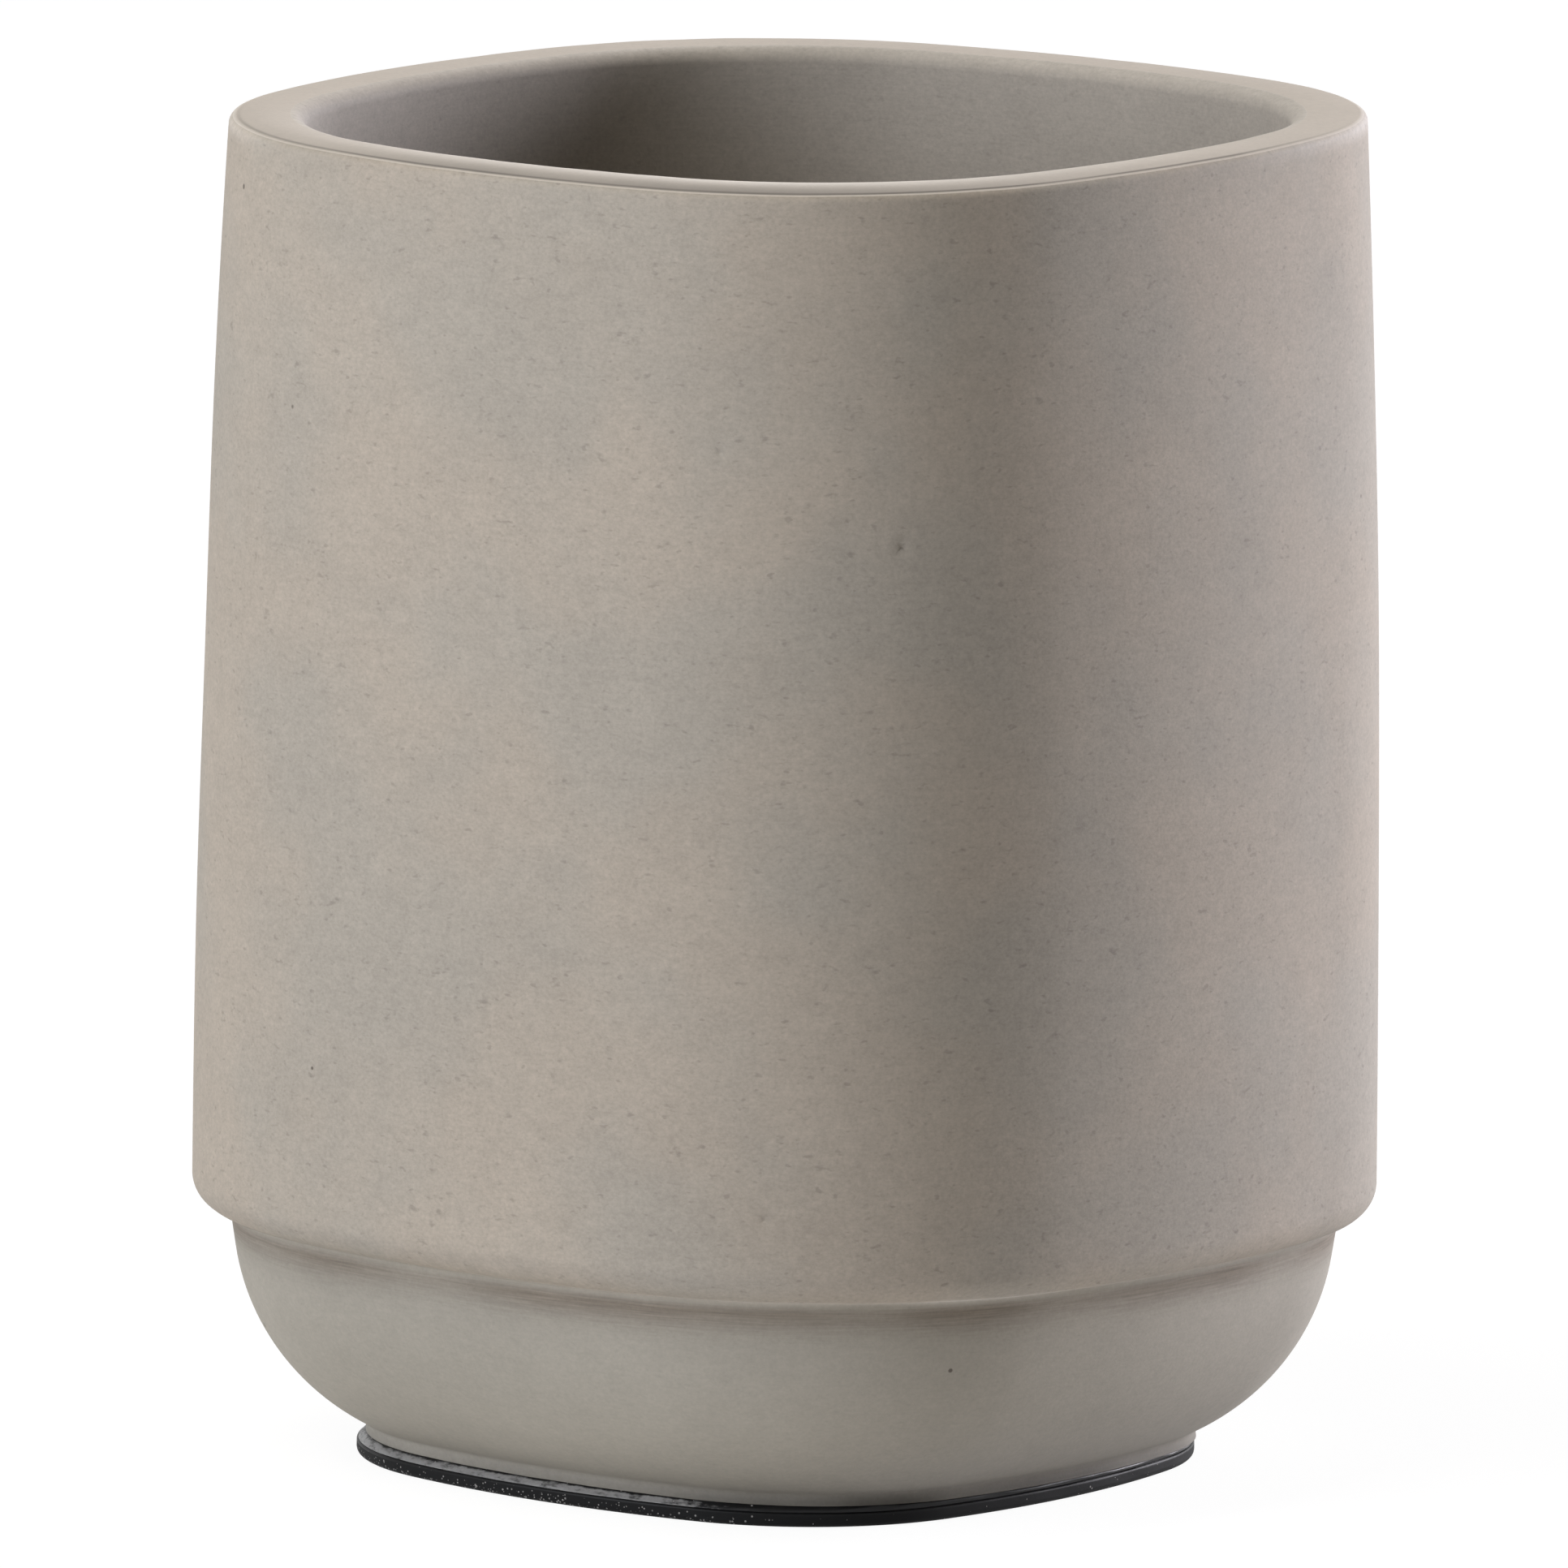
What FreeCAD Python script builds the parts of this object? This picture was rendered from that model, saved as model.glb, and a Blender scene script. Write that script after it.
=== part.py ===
import FreeCAD, Part
import math
import os

# Soft-square bathroom tumbler cast in concrete, with a non-slip pad bonded under its foot.
# The origin is on the cup's axis at the pad's underside. +Z is up; X and Y face the middles of the sides.

# Overall sizes, in millimetres
overall_height = 101.0
body_width = 82.3

# Plan of the body: four bowed sides joined by large round corners
side_radius = 80.0
corner_radius = 30.0

# Wall above the step: how far it leans in by the rim, and the rim itself
rim_inset = 2.0
rim_wall = 5.4
rim_outer_round = 0.6
rim_inner_round = 1.2

# Step and bowl
step_height = 18.6
step_round = 2.4
step_inset = 2.8
bowl_straight = 3.2
bowl_draft_deg = 9.0

# Foot, with its side set in from the body's
foot_inset = 13.15
foot_height = 0.9
neck_fillet = 0.6

# Inside of the cup
cavity_draft_deg = 1.0
base_thickness = 8.0
floor_round = 12.0

# Bonding film, set in a little from the foot's side
film_thickness = 0.4
film_inset = 0.2

# Pad under the foot, stuck on a little off the axis
pad_thickness = 1.1
pad_overhang = 0.25
pad_top_round = 0.2
pad_bottom_round = 0.4
pad_shift_x = -0.3
pad_shift_y = -0.25

# Sizes worked out from those above
half_width = body_width / 2
film_bottom = pad_thickness
foot_bottom = film_bottom + film_thickness
neck_height = foot_bottom + foot_height
floor_height = foot_bottom + base_thickness
side_centre = side_radius - half_width
corner_centre = (math.sqrt(2 * (side_radius - corner_radius) ** 2 - side_centre ** 2) - side_centre) / 2
side_half_angle = math.degrees(math.atan2(corner_centre, corner_centre + side_centre))


def vector(x, y, z=0):
    return FreeCAD.Vector(x, y, z)


def plan_arcs():
    """Eight arcs round the plan, each as its centre, radius, first angle and sweep."""
    arcs = []
    diagonal = corner_centre * math.sqrt(2)
    for turn_deg in (0, 90, 180, 270):
        facing = math.radians(turn_deg)
        side = vector(-side_centre * math.cos(facing), -side_centre * math.sin(facing))
        arcs.append((side, side_radius, turn_deg - side_half_angle, 2 * side_half_angle))
        facing = math.radians(turn_deg + 45)
        corner = vector(diagonal * math.cos(facing), diagonal * math.sin(facing))
        arcs.append((corner, corner_radius, turn_deg + side_half_angle, 90 - 2 * side_half_angle))
    return arcs


def plan_point(arc, angle_deg, offset, height):
    """Point on one plan arc, moved outward by an offset and up to a height."""
    centre, radius, first, sweep = arc
    angle = math.radians(angle_deg)
    reach = radius + offset
    return vector(centre.x + reach * math.cos(angle), centre.y + reach * math.sin(angle), height)


def plan_face(offset, height):
    """Flat face bounded by the plan at an offset."""
    arc_shares = (0, 0.5, 1)
    edges = []
    for arc in plan_arcs():
        centre, radius, first, sweep = arc
        points = [plan_point(arc, first + sweep * share, offset, height) for share in arc_shares]
        edges.append(Part.Arc(*points).toShape())
    return Part.Face(Part.Wire(edges))


def swept_solid(profile, shift=vector(0, 0)):
    """Solid whose side follows a profile round the plan, in parts of two or three offset and height pairs."""
    faces = []
    for arc in plan_arcs():
        centre, radius, first, sweep = arc
        for part in profile:
            points = [plan_point(arc, first, offset, height) for offset, height in part]
            if len(points) == 2:
                edge = Part.makeLine(*points)
            else:
                edge = Part.Arc(*points).toShape()
            faces.append(edge.revolve(centre, vector(0, 0, 1), sweep))
    for offset, height in (profile[0][0], profile[-1][-1]):
        faces.append(plan_face(offset, height))
    shell = Part.makeShell(faces)
    shell.sewShape()
    solid = Part.makeSolid(shell)
    if solid.Volume < 0:
        solid.reverse()
    solid.translate(shift)
    return solid


def tangent_arc(start, heading_deg, end):
    """Centre and radius of the arc that leaves a point at a heading from straight up and meets an end."""
    heading = math.radians(heading_deg)
    normal = (math.cos(heading), -math.sin(heading))
    chord = (end[0] - start[0], end[1] - start[1])
    reach = (chord[0] ** 2 + chord[1] ** 2) / (2 * (chord[0] * normal[0] + chord[1] * normal[1]))
    return (start[0] + reach * normal[0], start[1] + reach * normal[1]), abs(reach)


def round_arc(centre, radius, start, end):
    """Arc part of a profile from its centre, its radius and its two ends."""
    middle = ((start[0] + end[0]) / 2 - centre[0], (start[1] + end[1]) / 2 - centre[1])
    grow = radius / math.hypot(*middle)
    return (start, (centre[0] + middle[0] * grow, centre[1] + middle[1] * grow), end)


def toward(centre, point, reach):
    """Point at a reach from a centre, in the direction of another point."""
    across = point[0] - centre[0]
    rise = point[1] - centre[1]
    grow = reach / math.hypot(across, rise)
    return (centre[0] + across * grow, centre[1] + rise * grow)


def cup_profile():
    """Outline of the cup from the foot's underside, up and over the rim and down to the floor inside."""
    # Bowl: a drafted straight below the step, then one arc that turns in to the foot
    draft = math.radians(bowl_draft_deg)
    bowl_top = (-step_inset, step_height)
    bowl_bend = (bowl_top[0] - bowl_straight * math.sin(draft), bowl_top[1] - bowl_straight * math.cos(draft))
    neck = (-foot_inset, neck_height)
    bowl_centre, bowl_radius = tangent_arc(bowl_bend, 180 + bowl_draft_deg, neck)
    # Small fillet between the bowl and the upright side of the foot
    fillet_x = -foot_inset + neck_fillet
    fillet_drop = math.sqrt((bowl_radius + neck_fillet) ** 2 - (fillet_x - bowl_centre[0]) ** 2)
    fillet_centre = (fillet_x, bowl_centre[1] - fillet_drop)
    bowl_end = toward(bowl_centre, fillet_centre, bowl_radius)
    foot_top = (-foot_inset, fillet_centre[1])
    # Wall: one long arc, upright at the step and leaning in to the rim
    wall_bottom = (0, step_height + step_round)
    wall_centre, wall_radius = tangent_arc(wall_bottom, 0, (-rim_inset, overall_height))
    inward = math.copysign(1, wall_bottom[0] - wall_centre[0])
    rim_level = overall_height - rim_outer_round
    rim_reach = math.sqrt((wall_radius - inward * rim_outer_round) ** 2 - (rim_level - wall_centre[1]) ** 2)
    rim_centre = (wall_centre[0] + inward * rim_reach, rim_level)
    wall_top = toward(wall_centre, rim_centre, wall_radius)
    rim_out = (rim_centre[0], overall_height)
    # Inside: rounded rim edge, drafted wall and a large round down to the floor
    slope = math.radians(cavity_draft_deg)
    mouth = -rim_inset - rim_wall
    edge_x = mouth + rim_inner_round * (1 - math.sin(slope)) / math.cos(slope)
    edge_centre = (edge_x, overall_height - rim_inner_round)
    wall_normal = (-math.cos(slope), math.sin(slope))
    edge_end = (edge_x + rim_inner_round * wall_normal[0], edge_centre[1] + rim_inner_round * wall_normal[1])
    floor_level = floor_height + floor_round
    floor_x = mouth - (floor_round + (overall_height - floor_level) * math.sin(slope)) / math.cos(slope)
    floor_centre = (floor_x, floor_level)
    wall_end = (floor_x - floor_round * wall_normal[0], floor_level - floor_round * wall_normal[1])
    step_centre = (-step_round, wall_bottom[1])
    step_edge = (-step_round, step_height)
    return [
        ((-foot_inset, foot_bottom), foot_top),
        round_arc(fillet_centre, neck_fillet, foot_top, bowl_end),
        round_arc(bowl_centre, bowl_radius, bowl_end, bowl_bend),
        (bowl_bend, bowl_top),
        (bowl_top, step_edge),
        round_arc(step_centre, step_round, step_edge, wall_bottom),
        round_arc(wall_centre, wall_radius, wall_bottom, wall_top),
        round_arc(rim_centre, rim_outer_round, wall_top, rim_out),
        (rim_out, (edge_x, overall_height)),
        round_arc(edge_centre, rim_inner_round, (edge_x, overall_height), edge_end),
        (edge_end, wall_end),
        round_arc(floor_centre, floor_round, wall_end, (floor_x, floor_height)),
    ]


def film_profile():
    """Upright edge of the bonding film."""
    edge = -foot_inset - film_inset
    return [((edge, film_bottom), (edge, foot_bottom))]


def pad_profile():
    """Side of the pad, with a round below and a smaller one above."""
    side = -foot_inset + pad_overhang
    low_centre = (side - pad_bottom_round, pad_bottom_round)
    high_centre = (side - pad_top_round, pad_thickness - pad_top_round)
    low = ((low_centre[0], 0), (side, low_centre[1]))
    high = ((side, high_centre[1]), (high_centre[0], pad_thickness))
    return [
        round_arc(low_centre, pad_bottom_round, *low),
        (low[1], high[0]),
        round_arc(high_centre, pad_top_round, *high),
    ]


os.makedirs("parts", exist_ok=True)
cup_body = swept_solid(cup_profile())
adhesive_film = swept_solid(film_profile())
base_pad = swept_solid(pad_profile(), vector(pad_shift_x, pad_shift_y))
cup_body.exportStep("parts/cup_body.step")
adhesive_film.exportStep("parts/adhesive_film.step")
base_pad.exportStep("parts/base_pad.step")
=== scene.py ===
import math

import bmesh
import bpy
import numpy as np
from bpy.props import FloatProperty, FloatVectorProperty, PointerProperty
from mathutils import Matrix, Vector


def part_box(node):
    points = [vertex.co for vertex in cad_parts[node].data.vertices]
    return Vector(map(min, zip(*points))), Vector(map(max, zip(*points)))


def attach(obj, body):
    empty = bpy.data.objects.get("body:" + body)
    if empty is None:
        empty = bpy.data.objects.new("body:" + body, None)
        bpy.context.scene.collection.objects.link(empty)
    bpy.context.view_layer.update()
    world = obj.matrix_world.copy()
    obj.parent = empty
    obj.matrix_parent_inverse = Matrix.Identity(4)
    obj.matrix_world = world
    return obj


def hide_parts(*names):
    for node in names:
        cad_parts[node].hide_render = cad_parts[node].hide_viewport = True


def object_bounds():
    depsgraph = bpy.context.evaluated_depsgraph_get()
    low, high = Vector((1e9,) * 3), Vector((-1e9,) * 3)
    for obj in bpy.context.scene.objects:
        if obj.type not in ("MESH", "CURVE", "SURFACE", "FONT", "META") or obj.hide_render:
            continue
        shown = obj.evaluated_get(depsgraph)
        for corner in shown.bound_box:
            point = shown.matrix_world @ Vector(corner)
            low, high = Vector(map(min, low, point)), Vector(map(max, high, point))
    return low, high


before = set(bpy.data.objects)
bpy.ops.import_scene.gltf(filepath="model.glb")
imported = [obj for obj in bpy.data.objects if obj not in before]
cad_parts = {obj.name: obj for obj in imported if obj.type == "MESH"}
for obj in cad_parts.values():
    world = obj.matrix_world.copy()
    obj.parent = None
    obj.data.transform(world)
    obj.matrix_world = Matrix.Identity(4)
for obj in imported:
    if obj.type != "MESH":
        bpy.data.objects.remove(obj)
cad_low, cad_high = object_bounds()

bl_info = {
    "name": "Concrete tumbler",
    "version": (1, 0, 0),
    "blender": (4, 5, 0),
    "location": "View3D > Sidebar > Tumbler",
    "description": "Soft-square bathroom tumbler cast in concrete, on a rubber pad, with a plain studio",
    "category": "Add Mesh",
}

cup_low, cup_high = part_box("cup_body")
pad_low, pad_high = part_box("base_pad")
pad_middle = (pad_low + pad_high) / 2

# Rows of points in each zone of an outline, and columns round the plan
CUP_ROWS = {
    "foot": 5, "neck": 8, "bowl": 26, "straight": 10, "under": 3, "step": 20, "wall": 104,
    "edge": 8, "rim": 18, "lip": 14, "inside": 66, "round": 14,
}
PAD_ROWS = {"round": 5, "side": 10, "shoulder": 10}
FILM_ROWS = 9
SIDE_COLUMNS = 36
CORNER_COLUMNS = 40

# Rings that close each piece in towards its axis
CUP_RINGS = 8
PAD_RINGS = 6
FILM_RINGS = 3

# Seeds of the random draws
CUP_SEED = 12
PAD_SEED = 5
FILM_SEED = 21

# Waves in an uneven field, and the least length of one as a share of the longest
SLOW_WAVES = 16
FINE_WAVES = 24
SHORTEST_WAVE = 0.35

# Least length that a direction is divided by
TINY = 1e-12

# Material slots of the cup, and how many rows of the rim's outer round are sanded with the rim
WALL_SLOT, RIM_SLOT, INSIDE_SLOT, BOWL_SLOT = range(4)
SANDED_ROWS = 3

# Uneven edges of the casting: the zone, the place in it from 0 to 1 and the reach in metres
UNEVEN_EDGES = (("edge", 0.6, 0.0008), ("lip", 0.3, 0.0012), ("step", 0.2, 0.0012), ("foot", 0.0, 0.0006))

# Pits left by air bubbles: their number, and the slope and depth of each in metres
PITS = ((14, 0.00027, 0.00016), (10, 0.00031, 0.00022))

# How narrowly the rim's wear, painted highlight and painted shade, and the painted highlight and shade on
# step and foot, keep to their side of the cup
LIP_SHARPNESS = 5
PAINTED_LIGHT_SHARPNESS = 1.5

# Smear and painted sheen on the film's first and last row, before it is held between 0 and 1
SMEAR_FIRST = 3.2
SMEAR_LAST = -0.6

# Finishes of the cast concrete
WALL_CAST = {
    "clouds": 0.08, "blotches": 0.15, "flecks": 0.19, "grain": 0.22, "rubbed": 0.06,
    "pit_spacing": 0.0042, "pit_reach": 0.05, "roughness": 0.62, "relief": 0.000014,
}
RIM_CAST = {
    "clouds": 0.04, "blotches": 0.06, "flecks": 0.03, "grain": 0.10, "rubbed": 0.03,
    "pit_spacing": 0.0048, "pit_reach": 0.04, "roughness": 0.56, "relief": 0.000008,
}
INSIDE_CAST = {
    "clouds": 0.05, "blotches": 0.12, "flecks": 0.10, "grain": 0.20, "rubbed": 0.14,
    "pit_spacing": 0.0052, "pit_reach": 0.04, "roughness": 0.6, "relief": 0.00001,
}
BOWL_CAST = {
    "clouds": 0.06, "blotches": 0.10, "flecks": 0.05, "grain": 0.14, "rubbed": 0.05,
    "pit_spacing": 0.0042, "pit_reach": 0.05, "roughness": 0.62, "relief": 0.000012,
}

# Studio: the camera's sensor in millimetres, how far it sees in metres, and the floor's squares along a side
SENSOR_WIDTH = 36.0
SIGHT = 20.0
FLOOR_SQUARES = 8
WHITE = (1.0, 1.0, 1.0)


# Properties that the panel shows

def length(name, description, default):
    """A size in metres."""
    return FloatProperty(name=name, description=description, default=default, unit="LENGTH", precision=5)


def turn(name, description, degrees):
    """An angle, written here in degrees."""
    return FloatProperty(name=name, description=description, default=math.radians(degrees), subtype="ANGLE")


def power(name, description, default):
    """A lamp's power in watts."""
    return FloatProperty(name=name, description=description, default=default, unit="POWER", min=0.0)


def colour(name, description, default):
    """A colour in linear light."""
    return FloatVectorProperty(
        name=name, description=description, default=default, subtype="COLOR", size=3, min=0.0, max=1.0
    )


def share(name, description, default):
    """A share from 0 to 1."""
    return FloatProperty(
        name=name, description=description, default=default, subtype="FACTOR", min=0.0, max=1.0
    )


class CupSizes(bpy.types.PropertyGroup):
    """Sizes of the cast cup."""

    body_width: length("Body width", "Across two opposite sides above the step", cup_high.x - cup_low.x)
    top_level: length("Rim level", "Height of the rim above the table", cup_high.z)
    foot_level: length("Foot level", "Height of the foot's underside above the table", cup_low.z)
    side_radius: length("Side bow", "Radius of each bowed side in plan", 0.080)
    corner_radius: length("Corner radius", "Radius of each corner in plan", 0.030)
    rim_inset: length("Rim inset", "How far the wall leans in by the rim", 0.0020)
    rim_wall: length("Rim wall", "Width of the rim from outside to mouth", 0.0054)
    rim_outer_round: length("Outer rim round", "Round on the rim's outer edge", 0.0006)
    rim_inner_round: length("Inner rim round", "Round on the rim's inner edge", 0.0012)
    rim_crown: length("Rim crown", "How far the rim's face falls from its middle to its edges", 0.00005)
    rim_fall: length("Worn rim", "How far the rim's outer edge is rubbed down on its most worn side", 0.00034)
    rim_fall_reach: length("Worn rim reach", "How far down the wall that rubbing fades out", 0.004)
    quirk_depth: length("Quirk depth", "Tiny drop from the rim's face to its outer edge", 0.00006)
    quirk_ledge: length("Quirk ledge", "Level strip between that drop and the round", 0.00010)
    quirk_break: length("Quirk break", "Half the width of that drop's slope", 0.00003)
    quirk_facing: turn("Quirk side", "Direction in plan in which that drop shows", -56.0)
    quirk_spread: turn("Quirk spread", "How far that drop reaches to each side of that direction", 76.0)
    quirk_fading: turn("Quirk fading", "Over how much of a turn that drop fades out", 30.0)
    corner_wall: length("Corner wall", "How far the mouth is drawn in at the corners", 0.0003)
    step_level: length("Step level", "Height of the step's underside", 0.0186)
    step_round: length("Step round", "Round on the step's lower edge", 0.0024)
    step_inset: length("Step inset", "How far the bowl starts in from the wall", 0.0028)
    bowl_straight: length("Bowl straight", "Drafted straight under the step", 0.0032)
    bowl_draft: turn("Bowl draft", "Lean of that straight", 9.0)
    foot_inset: length("Foot inset", "How far the foot's side is in from the wall", 0.01315)
    foot_height: length("Foot height", "Height of the foot's lip", 0.0009)
    neck_fillet: length("Neck fillet", "Fillet between bowl and foot", 0.0006)
    cavity_draft: turn("Cavity draft", "Lean of the inside wall", 1.0)
    base_thickness: length("Base thickness", "Concrete under the inside floor", 0.008)
    floor_round: length("Floor round", "Round between the inside wall and floor", 0.012)
    wave_depth: length("Casting waves", "Slow unevenness of the cast faces", 0.00004)
    wave_length: length("Casting wave length", "Longest of those waves", 0.06)
    foot_lean: turn("Foot lean", "How far the casting's foot is out of level", 0.32)
    rim_lean: turn("Rim lean", "How far the rim is out of level, the other way", 0.545)
    lean_facing: turn("Lean facing", "Direction in plan in which the foot dips and the rim rises", 62.0)
    edge_depth: length("Edge unevenness", "Unevenness along rim, step and foot", 0.000008)
    edge_length: length("Edge wave length", "Longest wave of that unevenness", 0.009)


class PadSizes(bpy.types.PropertyGroup):
    """Sizes of the rubber pad and of its dust."""

    top_round: length("Pad top round", "Round on the pad's upper edge", 0.00020)
    bottom_round: length("Pad bottom round", "Round on the pad's lower edge", 0.00040)
    wave_depth: length("Pad waves", "Unevenness of the cut side", 0.00003)
    wave_length: length("Pad wave length", "Longest of those waves", 0.012)
    dust_patches: length("Dust patches", "Longest patches of the dust", 0.03)
    dust_level: share("Dust level", "Share of the pad's height at which the dust ends", 0.9)
    dust_gain: FloatProperty(name="Dust gain", description="How fast the dust thickens down", default=1.5)


class FilmSizes(bpy.types.PropertyGroup):
    """Sizes of the bonding film."""

    foot_gap: length("Film top inset", "From the foot's side in to the film's upper edge", 0.00012)
    pad_gap: length("Film bottom inset", "From the pad's side in to the film's lower edge", 0.00012)
    bulge: length("Film bulge", "How far the squeezed edge swells", 0.00006)
    wave_depth: length("Film waves", "Unevenness of the squeezed edge", 0.00005)
    wave_length: length("Film wave length", "Longest of those waves", 0.006)


class Finishes(bpy.types.PropertyGroup):
    """Colours of the finishes, with painted highlight, shade and sheen among them, and the dusty side of pad
    and film.
    """

    wall_cool: colour("Wall, cool patches", "Greyer patches of the cast wall", (0.415, 0.382, 0.333))
    wall_warm: colour("Wall, warm patches", "Warmer patches of the cast wall", (0.452, 0.402, 0.342))
    rim_tone: colour("Rim", "Sanded flat of the rim", (0.655, 0.605, 0.55))
    bowl_tone: colour("Bowl", "Smoother cast bowl", (0.427, 0.400, 0.347))
    inside_tone: colour("Inside", "Smooth cast inside", (0.42, 0.387, 0.344))
    # Pale tone of the worn amount: painted highlights along the rim's and step's edges and under the step,
    # partly worn edges
    highlight_and_wear_tone: colour("Worn edges", "Paler concrete where the edges are worn", (0.92, 0.885, 0.84))
    # Rubbed band under the step, partly painted shade from the step above
    rubbed_and_shaded_tone: colour("Rubbed band", "Darker rubbed band under the step", (0.245, 0.212, 0.174))
    pit_tone: colour("Pinholes", "Shade inside the pinholes", (0.16, 0.14, 0.12))
    rubber_tone: colour("Rubber", "Black rubber of the pad", (0.008, 0.008, 0.0083))
    film_dark: colour("Film, clean", "Bonding film where it is clean", (0.010, 0.010, 0.0103))
    # Pale patches of the film: cement smear, partly painted sheen of the left light
    film_smear_and_sheen: colour("Film, smeared", "Bonding film smeared with cement dust", (0.30, 0.295, 0.285))
    dust_tone: colour("Dust", "Pale dust on the rubber", (0.36, 0.345, 0.325))
    # The pad's dust and the film's pale patches keep to this side, which faces the left light
    dusty_facing: turn("Dusty side", "Direction in plan in which the pad and film hold most dust", -101.0)
    dusty_spread: turn("Dusty spread", "How far the dust reaches to each side of that direction", 40.0)
    dusty_fading: turn("Dusty fading", "Over how much of a turn the dust fades out", 14.0)
    least_dust: share("Least dust", "Share of the dust that is left on the other sides", 0.08)
    rim_spread: share("Rim spread", "How far the rim's patches differ from its colour", 0.015)
    cast_spread: share("Cast spread", "How far patches of bowl and inside differ from their colours", 0.02)


class WearSettings(bpy.types.PropertyGroup):
    """Wear of the cup, with painted highlights on its edges and painted shade on its foot and rim."""

    # The rim's painted highlight and painted shade also keep to this side, besides its wear
    lip_facing: turn("Worn lip", "Direction in plan in which the rim is most worn", -65.0)
    # Side on which the step's painted highlight and the foot's painted shade are strongest
    painted_light_facing: turn("Worn side", "Direction in plan in which the step and foot are most worn", -20.0)
    patch_size: length("Wear patches", "Longest patches of the wear and dirt", 0.02)
    band_drop: length("Band drop", "From the step down to the darkest part of the rubbed band", 0.0009)
    band_above: length("Band above", "Over which that band fades upwards", 0.0004)
    band_below: length("Band below", "Over which that band fades downwards", 0.0016)
    # Step edge and step corner: painted highlights from the floor's light, the step edge partly a worn arris
    step_highlight: share("Step edge", "Paleness of the step's lower edge", 0.62)
    step_reach: length("Step edge reach", "Over which that paleness fades", 0.0005)
    corner_highlight: share("Step corner", "Paleness of the corner under the step", 0.42)
    corner_reach: length("Step corner reach", "Over which that paleness fades", 0.0003)
    # Inner rim edge and worn rim face: painted highlight along the rim's inner edge
    lip_highlight: share("Inner rim edge", "Paleness of the rim's inner edge all round", 0.45)
    lip_reach: length("Inner rim edge reach", "Over which that paleness fades", 0.0009)
    rim_reach: length("Worn rim face", "Over which the pale part of the worn rim fades", 0.0018)
    # Outer rim edge: painted highlight on the rim's outer round
    edge_highlight: share("Outer rim edge", "Paleness of the rim's outer edge away from its drop", 0.45)
    edge_reach: length("Outer rim edge reach", "Over which that paleness fades", 0.0006)
    # Painted shade on the foot's lip, under the bowl's overhang
    foot_shade_reach: length("Foot dirt reach", "Over which the dirt on the foot fades", 0.0009)
    # Painted shade on the outer part of the worn rim
    rim_shade: share("Rim dirt", "Dirt on the outer part of the worn rim", 0.75)
    rim_shade_reach: length("Rim dirt reach", "Over which that dirt fades", 0.0019)
    # Painted shade along the rim's tiny drop
    quirk_shade: share("Quirk dirt", "Dirt along the rim's tiny drop", 0.95)
    quirk_shade_reach: length("Quirk dirt reach", "Over which that dirt fades", 0.00016)


class StageSettings(bpy.types.PropertyGroup):
    """Camera, lamps, sky and floor of the plain studio."""

    azimuth: turn("Camera azimuth", "Round the cup, 0 faces its -Y side", 38.4)
    elevation: turn("Camera elevation", "Above the table", 8.944)
    roll: turn("Camera roll", "Turn about the line of sight", 0.77)
    distance: length("Camera distance", "From the aim point", 2.0)
    lens: FloatProperty(name="Lens", description="Focal length in millimetres", default=616.5)
    aim_level: length("Aim level", "Height of the aim point", 0.0505)
    aim_side: length("Aim side", "Aim point's shift to the right", -0.00044)
    lamp_distance: length("Lamp distance", "From the cup to each lamp", 1.6)
    left_turn: turn("Left window turn", "Round the cup from the camera", -61.0)
    left_rise: turn("Left window rise", "Above the table", 14.0)
    left_width: length("Left window width", "Across the low soft light on the left", 0.8)
    left_height: length("Left window height", "Up the low soft light on the left", 0.85)
    left_power: power("Left window", "Low soft light on the left", 15.8)
    left_tint: colour("Left tint", "Colour of the left window", (0.885, 0.918, 1.0))
    top_turn: turn("Top light turn", "Round the cup from the camera", -60.0)
    top_rise: turn("Top light rise", "Above the table", 66.0)
    top_width: length("Top light width", "Across the soft light high on the left", 0.8)
    top_height: length("Top light height", "Up the soft light high on the left", 0.8)
    top_power: power("Top light", "Soft light high on the left", 12.8)
    top_tint: colour("Top tint", "Colour of the top light", (1.0, 0.925, 0.80))
    right_turn: turn("Right window turn", "Round the cup from the camera", 119.0)
    right_rise: turn("Right window rise", "Above the table", 12.0)
    right_width: length("Right window width", "Across the low soft light at the back right", 0.8)
    right_height: length("Right window height", "Up the low soft light at the back right", 0.65)
    right_power: power("Right window", "Low soft light at the back right", 29.9)
    right_tint: colour("Right tint", "Colour of the right window", (0.94, 0.92, 1.0))
    sky: FloatProperty(name="Sky", description="Even light from all round", default=0.01, min=0.0)
    sky_tint: colour("Sky tint", "Colour of that even light", (1.0, 0.97, 0.94))
    floor_tone: colour("Floor", "Pale floor, as the cup sees it", (0.8, 0.8, 0.8))
    floor_shaded: colour("Floor, lit part", "Part of its white that the cup can shade", (0.12, 0.12, 0.12))
    floor_white: share("Floor, even part", "Part of its white that stays in the shadow", 0.94)
    floor_reach: length("Floor reach", "From the floor's middle to its edges", 4.0)


# Outlines: offset from the plan and height, row by row

def run(start, end, count):
    """Points from one place on an outline towards another, which is left out."""
    steps = np.linspace(0.0, 1.0, count, endpoint=False)[:, None]
    return np.array(start) * (1 - steps) + np.array(end) * steps


def graded(start, end, count):
    """Points like those of a run, closer together near both ends."""
    steps = (0.5 - 0.5 * np.cos(np.linspace(0.0, math.pi, count, endpoint=False)))[:, None]
    return np.array(start) * (1 - steps) + np.array(end) * steps


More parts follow.
